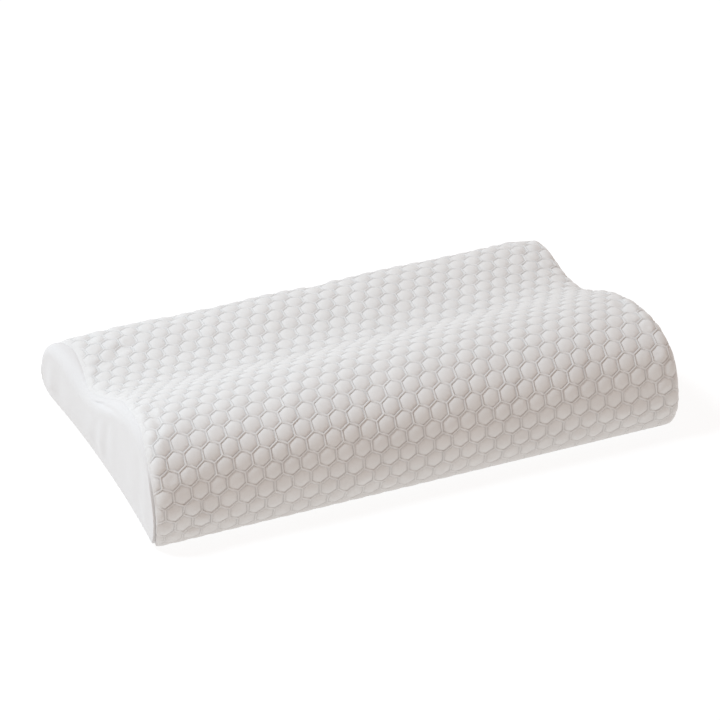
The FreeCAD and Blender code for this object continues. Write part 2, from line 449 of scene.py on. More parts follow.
def darkened(tree, at, factor, colour, towards):
    """A colour multiplied towards another by a factor."""
    made = node(tree, "ShaderNodeMix", at, data_type="RGBA", blend_type="MULTIPLY")
    made.inputs[7].default_value = (*towards, 1)
    tree.links.new(factor, made.inputs[0])
    tree.links.new(colour, made.inputs[6])
    return made.outputs[2]


def new_group(name, inputs, outputs):
    """An empty shader group with named float or colour sockets."""
    group = bpy.data.node_groups.new(name, "ShaderNodeTree")
    for label, kind, default in inputs:
        socket = group.interface.new_socket(label, in_out="INPUT", socket_type=kind)
        socket.default_value = default
    for label, kind in outputs:
        group.interface.new_socket(label, in_out="OUTPUT", socket_type=kind)
    start = node(group, "NodeGroupInput", (-900, 0))
    end = node(group, "NodeGroupOutput", (900, 0))
    return group, start, end


def knit_loops_group():
    """Fine rows of knit loops: a height, and a soft mottling of the yarn."""
    group, start, end = new_group(
        "Knit loops",
        [("Loops per metre", "NodeSocketFloat", 900.0), ("Fuzz", "NodeSocketFloat", 0.35)],
        [("Height", "NodeSocketFloat"), ("Mottle", "NodeSocketFloat")])
    links = group.links
    where = node(group, "ShaderNodeTexCoord", (-900, 260))
    grow = node(group, "ShaderNodeVectorMath", (-680, 200), operation="SCALE")
    links.new(where.outputs["Object"], grow.inputs[0])
    links.new(start.outputs["Loops per metre"], grow.inputs["Scale"])
    loops = node(group, "ShaderNodeTexVoronoi", (-440, 260), feature="SMOOTH_F1")
    loops.inputs["Randomness"].default_value = 0.55
    loops.inputs["Scale"].default_value = 1.0
    links.new(grow.outputs[0], loops.inputs["Vector"])
    fibre = noise(group, (-440, -40), grow.outputs[0], 3.1, 3.0)
    blend = node(group, "ShaderNodeMix", (-160, 160), data_type="FLOAT")
    links.new(start.outputs["Fuzz"], blend.inputs[0])
    links.new(loops.outputs["Distance"], blend.inputs[2])
    links.new(fibre, blend.inputs[3])
    height = worked_out(group, (60, 160), "SUBTRACT", 1.0, blend.outputs[0])
    links.new(height, end.inputs["Height"])
    cloud = noise(group, (-160, -220), where.outputs["Object"], 38.0, 4.0)
    links.new(cloud, end.inputs["Mottle"])
    return group


def cloth_colour_group():
    """A cloth's colour: its base, darker at random in the mottling, and with painted shade in the hollows
    of the yarn.
    """
    group, start, end = new_group(
        "Cloth colour",
        [("Base", "NodeSocketColor", (0.8, 0.8, 0.8, 1)), ("Mottle", "NodeSocketFloat", 0.5),
         ("Height", "NodeSocketFloat", 0.5), ("Depth of shade", "NodeSocketFloat", 0.06)],
        [("Colour", "NodeSocketColor"), ("Roughness", "NodeSocketFloat")])
    mottle = start.outputs["Mottle"]
    dull = mapped(group, (-600, -60), mottle, From_Min=0.3, From_Max=0.7)
    # painted shade: the lower the yarn lies between the loops, the darker its colour
    low = mapped(group, (-600, -320), start.outputs["Height"], From_Min=0.35, From_Max=0.85)
    both = worked_out(group, (-360, -160), "ADD", dull, low)
    lack = worked_out(group, (-160, -160), "MULTIPLY_ADD", both, -0.5, 1.0)
    shade = worked_out(group, (40, -160), "MULTIPLY", lack, start.outputs["Depth of shade"])
    colour = darkened(group, (300, 120), shade, start.outputs["Base"], (0.0, 0.0, 0.0))
    group.links.new(colour, end.inputs["Colour"])
    rough = mapped(group, (300, -240), mottle, To_Min=0.78, To_Max=0.94)
    group.links.new(rough, end.inputs["Roughness"])
    return group


GROUPS = {}


def shared_group(name, build):
    """A node group, built the first time it is asked for."""
    if name not in GROUPS:
        GROUPS[name] = build()
    return GROUPS[name]


def cloth_material(name, colour, loops, fuzz, shade, bump, sheen, pressed=0.0):
    """A knitted or woven cloth: colour, yarn bump, a soft sheen and, where pressed is set, painted shade
    in its grooves.
    """
    material = bpy.data.materials.new(name)
    material.use_nodes = True
    tree = material.node_tree
    shader = tree.nodes["Principled BSDF"]
    knit = node(tree, "ShaderNodeGroup", (-700, 0))
    knit.node_tree = shared_group("knit", knit_loops_group)
    knit.inputs["Loops per metre"].default_value = loops
    knit.inputs["Fuzz"].default_value = fuzz
    tint = node(tree, "ShaderNodeGroup", (-400, 100))
    tint.node_tree = shared_group("colour", cloth_colour_group)
    tint.inputs["Base"].default_value = (*colour, 1)
    tint.inputs["Depth of shade"].default_value = shade
    rise = node(tree, "ShaderNodeBump", (-400, -260))
    rise.inputs["Distance"].default_value = bump
    rise.inputs["Strength"].default_value = 0.6
    links = tree.links
    links.new(knit.outputs["Mottle"], tint.inputs["Mottle"])
    links.new(knit.outputs["Height"], tint.inputs["Height"])
    links.new(knit.outputs["Height"], rise.inputs["Height"])
    surface = tint.outputs["Colour"]
    # painted shade: pressed sets how strongly the grooves, read from the hollow attribute, are darkened
    # towards grey-brown
    if pressed:
        lines = node(tree, "ShaderNodeAttribute", (-700, 360), attribute_name="hollow")
        painted_shade_amount = worked_out(tree, (-480, 360), "MULTIPLY", lines.outputs["Fac"], pressed)
        surface = darkened(tree, (-200, 300), painted_shade_amount, surface, (0.42, 0.40, 0.385))
    links.new(surface, shader.inputs["Base Color"])
    links.new(tint.outputs["Roughness"], shader.inputs["Roughness"])
    links.new(rise.outputs["Normal"], shader.inputs["Normal"])
    shader.inputs["Sheen Weight"].default_value = sheen
    shader.inputs["Sheen Roughness"].default_value = 0.5
    shader.inputs["Specular IOR Level"].default_value = 0.25
    return material


def smooth_material(name, colour, roughness, grain):
    """Moulded or enamelled parts: a plain colour with a little unevenness in its gloss."""
    material = bpy.data.materials.new(name)
    material.use_nodes = True
    tree = material.node_tree
    shader = tree.nodes["Principled BSDF"]
    where = node(tree, "ShaderNodeTexCoord", (-900, 0))
    speckle = noise(tree, (-700, 0), where.outputs["Object"], grain, 4.0)
    gloss = mapped(tree, (-460, 60), speckle, To_Min=roughness - 0.07, To_Max=roughness + 0.09)
    tone = node(tree, "ShaderNodeMix", (-460, 300), data_type="RGBA")
    tone.inputs[6].default_value = (*[c * 0.94 for c in colour], 1)
    tone.inputs[7].default_value = (*colour, 1)
    rise = node(tree, "ShaderNodeBump", (-460, -220))
    rise.inputs["Distance"].default_value = 0.00004
    for source, socket in ((speckle, tone.inputs[0]), (speckle, rise.inputs["Height"]),
                           (tone.outputs[2], shader.inputs["Base Color"]),
                           (gloss, shader.inputs["Roughness"]),
                           (rise.outputs["Normal"], shader.inputs["Normal"])):
        tree.links.new(source, socket)
    return material


CLOTHS = {
    # name, colour, loops per metre, fuzz, depth of shade, height of the yarn, sheen
    "quilt": ("Honeycomb knit", "quilt", 1150, 0.35, 0.07, 0.00022, 0.25),
    "plain": ("Plain end knit", "plain", 1500, 0.5, 0.04, 0.00010, 0.25),
    "seam": ("Seam tape", "trim", 1700, 0.4, 0.10, 0.00015, 0.25),
    "jersey": ("Liner jersey", "plain", 1900, 0.3, 0.05, 0.00012, 0.25),
    "tape": ("Zip tape weave", "trim", 2300, 0.15, 0.14, 0.00016, 0.25),
    "thread": ("Sewing thread", "trim", 3600, 0.2, 0.12, 0.00008, 0.5),
    "label": ("Label satin", (0.86, 0.86, 0.86), 4200, 0.1, 0.05, 0.00005, 0.6),
    "foam": ("Open-cell foam", "foam", 700, 0.7, 0.2, 0.0004, 0.0),
}
FITTINGS = {
    # name, roughness, grain per metre
    "coil": ("Zip coil", 0.38, 1500),
    "metal": ("Enamelled zip metal", 0.30, 900),
}
PAINTED_GROOVE_SHADE = 0.13      # painted shade: how much darker the knit is coloured along the grooves of its cells
MATERIALS = {}


def material_for(key):
    """The material of one kind of fabric or fitting, made the first time it is asked for."""
    if key in MATERIALS:
        return MATERIALS[key]
    colours = bpy.context.scene.pillow_colours
    if key in CLOTHS:
        name, colour, *finish = CLOTHS[key]
        colour = tuple(getattr(colours, colour)) if isinstance(colour, str) else colour
        # only the honeycomb knit gets painted shade in its grooves
        pressed = PAINTED_GROOVE_SHADE if key == "quilt" else 0.0
        MATERIALS[key] = cloth_material(name, colour, *finish, pressed=pressed)
    else:
        name, roughness, grain = FITTINGS[key]
        MATERIALS[key] = smooth_material(name, tuple(colours.trim), roughness, grain)
    return MATERIALS[key]


# ---------------------------------------------------------------- honeycomb wrap


GROOVE = 0.875            # share of the way from a cell's middle to its edge that is sunk deepest
SEAM_LINES = (0.0009, 0.0020, 0.0035, 0.0055)     # extra lines of points beside the end seams
HEM_LINES = (0.0012, 0.003)                       # and beside the hems at the zip
HEM_DEPTH = 0.0024        # how far the hems are turned in
CLOTH_ACROSS, CLOTH_AROUND = 91, 140              # points of the sheet that is simulated
CLOTH_STEPS = 20
CLOTH_LIMIT = 0.0012      # the free sheet balloons well past this, so this limit sets the swell


def cell_height(across, weaker, quilt):
    """Height of the knit for a share of the way from a cell's middle to its edge."""
    across = np.clip(across, 0, 1)
    dome = quilt.puff * np.clip(1 - (across / (GROOVE + 0.01)) ** 2.3, 0, 1) ** 0.7
    rib = quilt.rib * np.clip((across - GROOVE) / 0.075, 0, 1) ** 0.8
    height = np.where(across < GROOVE, dome, rib)
    return height + weaker * np.maximum(0.62 * quilt.puff - height, 0)


def hexagon_share(du, dv, pitch):
    """How far a point is from a cell's middle to its edge, 1 on the edge."""
    far = np.zeros_like(du)
    for k in range(3):
        a = math.pi / 3 * k
        far = np.maximum(far, np.abs(du * math.cos(a) + dv * math.sin(a)))
    return far / (pitch / 2)


def weaker_side(du, dv, pitch):
    """1 beside the two sides of a cell that the knit draws in least, 0 beside the others."""
    a = math.pi / 3
    along = np.abs(du * math.cos(a) + dv * math.sin(a))
    others = np.maximum(np.abs(du), np.abs(du * math.cos(2 * a) + dv * math.sin(2 * a)))
    return eased((along - others) / (pitch / 2), 0.0, 0.16)


def nearest_cell(u, v, pitch, row):
    """The middle of the cell that holds each point, and the share of the way to its edge."""
    best = np.full(u.shape, 9.0)
    middle_u, middle_v = np.zeros_like(u), np.zeros_like(v)
    guess = np.round(v / row)
    for step in (-1, 0, 1):
        j = guess + step
        offset = 0.5 * (np.mod(j, 2))
        i = np.round(u / pitch - offset)
        cu, cv = (i + offset) * pitch, j * row
        share = hexagon_share(u - cu, v - cv, pitch)
        closer = share < best
        best = np.where(closer, share, best)
        middle_u, middle_v = np.where(closer, cu, middle_u), np.where(closer, cv, middle_v)
    return best, middle_u, middle_v


RINGS = (0.34, 0.56, 0.72, 0.82, 0.88, 0.95, 1.0)
SPOKES = 12


def honeycomb_sheet(width, girth, quilt):
    """A flat sheet of cells in (u, s), each with its own rings, before it is cut to size."""
    pitch, row = quilt.pitch, quilt.pitch * math.sqrt(3) / 2
    slope = quilt.drift / width
    reach = width / 2 + pitch
    verts, faces = [], []
    edge = []
    for k in range(SPOKES):
        a = 2 * math.pi * k / SPOKES
        direction = np.array([math.cos(a), math.sin(a)])
        edge.append(direction / hexagon_share(direction[:1], direction[1:], pitch)[0])
    first = int(math.floor((-slope * reach - quilt.shift_round) / row)) - 2
    last = int(math.ceil((girth + slope * reach - quilt.shift_round) / row)) + 2
    columns = int(reach / pitch) + 2
    for j in range(first, last + 1):
        for i in range(-columns, columns + 1):
            cu = (i + 0.5 * (j % 2)) * pitch + quilt.shift_along
            cs = j * row + quilt.shift_round + slope * cu
            if abs(cu) > reach or cs < -row or cs > girth + row:
                continue
            base = len(verts)
            verts.append((cu, cs, 0))
            for ring in RINGS:
                for e in edge:
                    du = e[0] * ring
                    verts.append((cu + du, cs + e[1] * ring + slope * du, 0))
            for k in range(SPOKES):
                faces.append((base, base + 1 + k, base + 1 + (k + 1) % SPOKES))
            for ring in range(len(RINGS) - 1):
                a = base + 1 + ring * SPOKES
                b = a + SPOKES
                for k in range(SPOKES):
                    n = (k + 1) % SPOKES
                    faces.append((a + k, b + k, b + n, a + n))
    return verts, faces, slope


def cut(mesh, place, normal, clear):
    """Cut a bmesh along a plane, and drop the far side if clear is set."""
    everything = list(mesh.verts) + list(mesh.edges) + list(mesh.faces)
    bmesh.ops.bisect_plane(mesh, geom=everything, plane_co=place, plane_no=normal,
                           dist=1e-6, clear_outer=clear, clear_inner=False)


def cut_sheet(verts, faces, half, girth):
    """The flat sheet trimmed to the wrap, with extra lines of points beside its sewn edges."""
    mesh = bmesh.new()
    made = [mesh.verts.new(v) for v in verts]
    for f in faces:
        mesh.faces.new([made[i] for i in f])
    bmesh.ops.remove_doubles(mesh, verts=mesh.verts, dist=0.00008)
    for side in (-1, 1):
        cut(mesh, (side * half, 0, 0), (side, 0, 0), True)
        for back in SEAM_LINES:
            cut(mesh, (side * (half - back), 0, 0), (side, 0, 0), False)
    for place, way in ((0.0, -1), (girth, 1)):
        cut(mesh, (0, place, 0), (0, way, 0), True)
        for back in HEM_LINES:
            cut(mesh, (0, place - way * back, 0), (0, way, 0), False)
    mesh.verts.ensure_lookup_table()
    mesh.verts.index_update()
    flat = np.array([v.co[:] for v in mesh.verts])
    polygons = [[v.index for v in f.verts] for f in mesh.faces]
    mesh.free()
    return flat, polygons


def seam_lift(body, s, back):
    """How the cloth rises and falls beside the end seam: pinched deep down the front and rear."""
    on_side = 1 - body.section.at(body.section.on_top, s)
    gathers = np.sin(s * 760 + 3 * np.sin(s * 47)) * (0.5 + 0.5 * np.sin(s * 97 + 1))
    dip = (0.0005 + 0.0017 * on_side) * np.exp(-(back / 0.0011) ** 2)
    roll = 0.0008 * on_side * np.exp(-((back - 0.0024) / 0.0011) ** 2)
    return roll - dip + 0.00025 * gathers * np.exp(-(back / 0.0045) ** 2)


def slot_half_width(u):
    """Half the opening between the wrap's two hemmed edges, wide along the zip and shut past it."""
    low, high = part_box("zip_bottom_stop")[0].x - 0.004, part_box("zip_top_stops")[1].x + 0.004
    middle, half = (low + high) / 2, (high - low) / 2
    return 0.0003 + 0.0042 * (1 - eased(np.abs(u - middle), half - 0.002, half + 0.009))


def pressed_out(body, u, s):
    """The wrap's swell, from a pressed cloth held at its seams, its base and its zip.

    Nearly every free point of the cloth reaches CLOTH_LIMIT, so the swell is almost even.
    """
    scene, section = bpy.context.scene, body.section
    across, around = CLOTH_ACROSS, CLOTH_AROUND
    t, r = np.meshgrid(np.linspace(-1, 1, across), np.arange(around) * section.girth / around)
    t, r = t.ravel(), r.ravel()
    rest = body.place(t * body.seam_along(t, r), r, 0.0)
    faces = []
    for k in range(around):
        for i in range(across - 1):
            a, b = k * across + i, (k + 1) % around * across + i
            faces.append((a, a + 1, b + 1, b))
    cloth = new_piece("pressed_cloth", rest, faces)
    held = 1 - eased((1 - np.abs(t)) * body.shape.length / 2, 0.002, 0.024)
    held = np.maximum(held, 1 - eased(rest[:, 2], 0.004, 0.024))
    held = np.maximum(held, eased(rest[:, 1], 0.138, 0.147))
    group = cloth.vertex_groups.new(name="Held")
    for i, weight in enumerate(held):
        group.add([i], float(weight), "REPLACE")
    press = cloth.modifiers.new("Padding", "CLOTH")
    press.point_cache.frame_start, press.point_cache.frame_end = 1, CLOTH_STEPS
    settings = press.settings
    settings.quality = 5
    settings.mass = 0.25
    settings.tension_stiffness = settings.compression_stiffness = 14
    settings.shear_stiffness = 6
    settings.bending_stiffness = 0.8
    settings.shrink_min = -0.012
    settings.use_pressure = True
    settings.uniform_pressure_force = 4
    settings.vertex_group_mass = group.name
    settings.effector_weights.gravity = 0
    for step in range(1, CLOTH_STEPS + 1):
        scene.frame_set(step)
    with bpy.context.temp_override(object=cloth, active_object=cloth):
        bpy.ops.object.modifier_apply(modifier=press.name)
    flat = np.empty(len(cloth.data.vertices) * 3, np.float32)
    cloth.data.vertices.foreach_get("co", flat)
    scene.frame_set(1)
    bpy.data.objects.remove(cloth)
    move = flat.reshape(-1, 3).astype(float) - rest
    far = np.linalg.norm(move, axis=1)
    if not np.isfinite(far).all() or far.max() < 1e-6:
        raise RuntimeError("the padding did not press the wrap out")
    limited = (far > CLOTH_LIMIT).mean()
    print(f"pressed cloth: farthest point {far.max() * 1000:.1f} mm, {limited:.0%} of points limited")
    move *= np.minimum(1, CLOTH_LIMIT / np.maximum(far, 1e-9))[:, None]
    move = move.reshape(around, across, 3)
    along = np.clip((u / body.seam_along(u, s) + 1) / 2, 0, 1) * (across - 1)
    round_by = s / section.girth * around
    i, k = np.minimum(along.astype(int), across - 2), np.floor(round_by).astype(int)
    f, g = (along - i)[:, None], (round_by - k)[:, None]
    near, after = move[k % around], move[(k + 1) % around]
    rows = np.arange(len(u))
    low = near[rows, i] * (1 - f) + near[rows, i + 1] * f
    high = after[rows, i] * (1 - f) + after[rows, i + 1] * f
    return low * (1 - g) + high * g


class PILLOW_OT_wrap(bpy.types.Operator):
    """Make the honeycomb knit panel that goes round the pillow"""

    bl_idname = "pillow.wrap"
    bl_label = "Honeycomb Wrap"

    def execute(self, context):
        scene = context.scene
        quilt, body = scene.pillow_quilt, Body(scene.pillow_shape)
        girth, half = body.section.girth, scene.pillow_shape.length / 2
        verts, faces, slope = honeycomb_sheet(2 * half, girth, quilt)
        verts = np.array(verts)
        verts[:, 0] *= half / body.seam_along(verts[:, 0], verts[:, 1])
        flat, polygons = cut_sheet(verts, faces, half, girth)
        s, seam = flat[:, 1], body.seam_along(flat[:, 0], flat[:, 1])
        u = flat[:, 0] * seam / half
        row = quilt.pitch * math.sqrt(3) / 2
        pu, pv = u - quilt.shift_along, s - quilt.shift_round - slope * u
        share, cu, cv = nearest_cell(pu, pv, quilt.pitch, row)
        weaker = 0.6 * weaker_side(pu - cu, pv - cv, quilt.pitch)
        lift = cell_height(share, weaker, quilt)
        to_seam, to_hem = seam - np.abs(u), np.minimum(s, girth - s)
        lift *= eased(to_seam, 0.0004, 0.009) * (1 - 0.8 * body.section.at(body.section.under, s))
        lift *= 0.15 + 0.85 * eased(to_hem, 0.002, 0.010)
        tone = np.sin(cu * 913 + cv * 577) * np.sin(cv * 1291 - cu * 331)
        lift *= 1 + 0.12 * tone
        lift += seam_lift(body, s, to_seam)
        open_by = slot_half_width(u)
        s = s + open_by * np.exp(-s / 0.014) - open_by * np.exp(-(girth - s) / 0.014)
        points = body.place(u, s, lift) + pressed_out(body, u, s)
        points[:, 2] = np.maximum(points[:, 2], 0.00002)
        piece = new_piece("honeycomb_wrap", points, polygons)
        # painted shade mask: strongest along each cell's groove, left off the weaker sides and faded
        # towards the seams
        hollow = piece.data.attributes.new("hollow", "FLOAT", "POINT")
        pressed = (1 - weaker) * np.exp(-((share - GROOVE) / 0.045) ** 2)
        pressed *= eased(to_seam, 0.0004, 0.009)
        hollow.data.foreach_set("value", pressed.astype(np.float32))
        add_hem(piece, flat[:, 1], girth)
        finish_piece(piece, "pillow", ["cover_wrap"], material_for("quilt"))
        return {"FINISHED"}


def add_hem(piece, s, girth):
    """Turn the two edges at the zip inwards, so that the cloth shows its thickness."""
    mesh = bmesh.new()
    mesh.from_mesh(piece.data)
    mesh.verts.ensure_lookup_table()
    hems = [e for e in mesh.edges if e.is_boundary
            and all(min(s[v.index], girth - s[v.index]) < 1e-5 for v in e.verts)]
    made = bmesh.ops.extrude_edge_only(mesh, edges=hems)
    for v in made["geom"]:
        if isinstance(v, bmesh.types.BMVert):
            v.co.y -= HEM_DEPTH
    mesh.normal_update()
    mesh.to_mesh(piece.data)
    mesh.free()
    piece.data.polygons.foreach_set("use_smooth", [True] * len(piece.data.polygons))


# ---------------------------------------------------------------- end panels


END_ROUND_STEPS = 300
SEAM_RINGS = (0.0, 0.0006, 0.0012, 0.0018, 0.0024, 0.0031, 0.0041, 0.0055)    # beside the seam
FACE_RINGS = (0.0, 0.07, 0.16, 0.27, 0.40, 0.54, 0.69, 0.85, 1.0)             # over the flat face
SPINE_STEP = 0.0025       # spacing of the points where the face's upper and lower halves meet


def end_crease(body, side, s, back):
    """The soft crease over the left end, forward from where its seam crosses the valley."""
    if side > 0:
        return 0.0
    section = body.section
    forward = 0.62 - (section.at(section.points, s)[:, 0] / body.shape.depth + 0.5)
    line = section.at(section.edge_far - section.seam_far[-1], s) - 0.013 + 0.026 * forward
    strength = section.at(section.on_top, s) * eased(forward, -0.02, 0.01)
    strength *= 1 - eased(forward, 0.15, 0.30)
    return -0.0012 * strength * np.exp(-((back - line) / 0.0024) ** 2)


def end_panel(body, side, depth=0.0, from_seam=True):
    """One end panel: out of the seam, over the edge and across to the section's middle line."""
    shape, section = body.shape, body.section
    s = np.arange(END_ROUND_STEPS) / END_ROUND_STEPS * section.girth
    seam, edge = section.at(section.seam_far[side], s), section.at(section.edge_far, s)
    rings = []
    if from_seam:
        narrow = np.minimum(1, 0.9 * (edge - seam) / SEAM_RINGS[-1])
        for back in SEAM_RINGS:
            rings.append(body.place(side * (body.flat_half + seam + back * narrow), s,
                                    seam_lift(body, s, back)))
        start = seam + SEAM_RINGS[-1] * narrow
        for share in np.linspace(0.06, 0.94, 14):
            far = start + share * (edge - start)
            rings.append(body.place(side * (body.flat_half + far), s,
                                    end_crease(body, side, s, far - seam)))
    else:
        turning = section.at(section.rounding, s)
        for share in (0.0, 0.28, 0.55, 0.83):
            far = edge - (1 - share) * turning * math.pi / 2
            rings.append(body.place(side * (body.flat_half + far), s, -depth))
    rim = body.surface(body.flat_half + edge, s, -depth)
    low, high = rim[:, 1].min(), rim[:, 1].max()
    spine_y = np.clip(rim[:, 1], low + 0.045, high - 0.028)
    spine_y = np.round(spine_y / SPINE_STEP) * SPINE_STEP
    over = np.arange(low + 0.010, high - 0.008, SPINE_STEP)
    half_up = np.array([rim[np.abs(rim[:, 1] - y) < 0.009, 2].max() / 2 for y in over])
    spine = np.column_stack([rim[:, 0], spine_y, np.interp(spine_y, over, half_up)])
    inner = []
    for share in FACE_RINGS:
        ring = rim * (1 - share) + spine * share
        from_edge = np.linalg.norm(ring[:, 1:] - rim[:, 1:], axis=1)
        ring[:, 0] += shape.end_crown * eased(share, 0, 1)
        y, z = ring[:, 1], ring[:, 2]
        fold = np.sin(y * 165 + 2.2 * np.sin(z * 31) + 1.3 * np.sin(y * 41))
        fold *= 0.5 + 0.5 * np.sin(y * 57 + z * 23 + 0.8)
        ring[:, 0] += 0.0006 * fold * eased(from_edge, 0.001, 0.012)
        ring[:, 0] *= side
        inner.append(body.settle(ring))
    rings += inner
    verts = np.vstack(rings)
    n = END_ROUND_STEPS
    faces = []
    for k in range(len(rings) - 1):
        for i in range(n):
            j = (i + 1) % n
            quad = (k * n + i, k * n + j, (k + 1) * n + j, (k + 1) * n + i)
            faces.append(quad if side > 0 else quad[::-1])
    return verts, faces


class PILLOW_OT_ends(bpy.types.Operator):
    """Make the two plain knit end panels"""

    bl_idname = "pillow.ends"
    bl_label = "End Panels"

    def execute(self, context):
        body = Body(context.scene.pillow_shape)
        for side, name in ((-1, "left"), (1, "right")):
            piece = weld(new_piece(f"end_panel_{name}", *end_panel(body, side)))
            finish_piece(piece, "pillow", [f"cover_end_{name}"],
                         material_for("plain"))
        return {"FINISHED"}


SEAM_RADIUS = 0.0006


class PILLOW_OT_seams(bpy.types.Operator):
    """Make the turned-in seam between the wrap and each end panel"""

    bl_idname = "pillow.seams"
    bl_label = "End Seams"

    def execute(self, context):
        body = Body(context.scene.pillow_shape)
        s = np.arange(420) / 420 * body.section.girth
        for side, name in ((-1, "left"), (1, "right")):
            sunk = seam_lift(body, s, 0.0) - 0.0005
            path = body.place(side * body.seam_along(side, s), s, sunk)
            path[:, 2] = np.maximum(path[:, 2], SEAM_RADIUS)
            ring = tube(path, SEAM_RADIUS, 8, closed=True, across=(1, 0, 0))
            piece = new_piece(f"seam_allowance_{name}", *ring)
            finish_piece(piece, "pillow", [f"seam_welt_{name}"],
                         material_for("seam"))
        return {"FINISHED"}


# ---------------------------------------------------------------- liner and foam


LINER_DEPTH, FOAM_DEPTH = 0.0052, 0.0062     # how far inside the cover's surface they lie


def tunnel(body, half, depth, around=200, along=24):
    """The liner's or foam's wrap: the section set in by depth, from one end to the other."""
    s = np.arange(around) / around * body.section.girth
    rings = []
    for u in np.linspace(-half, half, along):
        rings.append(body.place(np.full(around, u), s, 0.0, depth=depth))
    verts = np.vstack(rings)
    faces = []
    for k in range(along - 1):
        for i in range(around):
            j = (i + 1) % around
            a, b = k * around, (k + 1) * around
            faces.append((a + i, b + i, b + j, a + j))
    return verts, faces


class PILLOW_OT_filling(bpy.types.Operator):
    """Make the foam core and the jersey liner round it"""

    bl_idname = "pillow.filling"
    bl_label = "Foam and Liner"

    def execute(self, context):
        body = Body(context.scene.pillow_shape)
        flat = body.flat_half - 0.004
        wrap = new_piece("liner_tunnel", *tunnel(body, flat, LINER_DEPTH))
        finish_piece(wrap, "pillow", ["liner_wrap"], material_for("jersey"))
        for side, name in ((-1, "left"), (1, "right")):
            cap = end_panel(body, side, depth=LINER_DEPTH, from_seam=False)
            end = weld(new_piece(f"liner_cap_{name}", *cap))
            finish_piece(end, "pillow", [f"liner_end_{name}"],
                         material_for("jersey"))
        parts = [tunnel(body, flat, FOAM_DEPTH)]
        parts += [end_panel(body, side, depth=FOAM_DEPTH, from_seam=False) for side in (-1, 1)]
        core = weld(new_piece("foam_block", *joined(parts)))
        finish_piece(core, "pillow", ["foam_core"], material_for("foam"))
        low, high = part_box("liner_closing_seam")
        line = np.column_stack([np.linspace(low.x, high.x, 300),
                                np.full(300, (low.y + high.y) / 2),
                                np.full(300, low.z + 0.0002)])
        row = new_piece("liner_seam_stitches", *stitches(line, 0.0028, 0.0007, 0.0002, (0, 0, -1)))
        finish_piece(row, "pillow", ["liner_closing_seam"], material_for("thread"))
        return {"FINISHED"}


# ---------------------------------------------------------------- zip


COIL_PITCH, COIL_WIRE = 0.0014, 0.00024      # one turn along the zip, and the wire's radius
STITCH_ROW = 0.0062       # how far from the hem the tape is sewn on


def zip_line():
    """The chain's middle height and the rear face it lies in."""
    low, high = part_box("zip_coil_lower")
    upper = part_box("zip_coil_upper")[1]
    return (low.z + upper.z) / 2, low.y, high.y


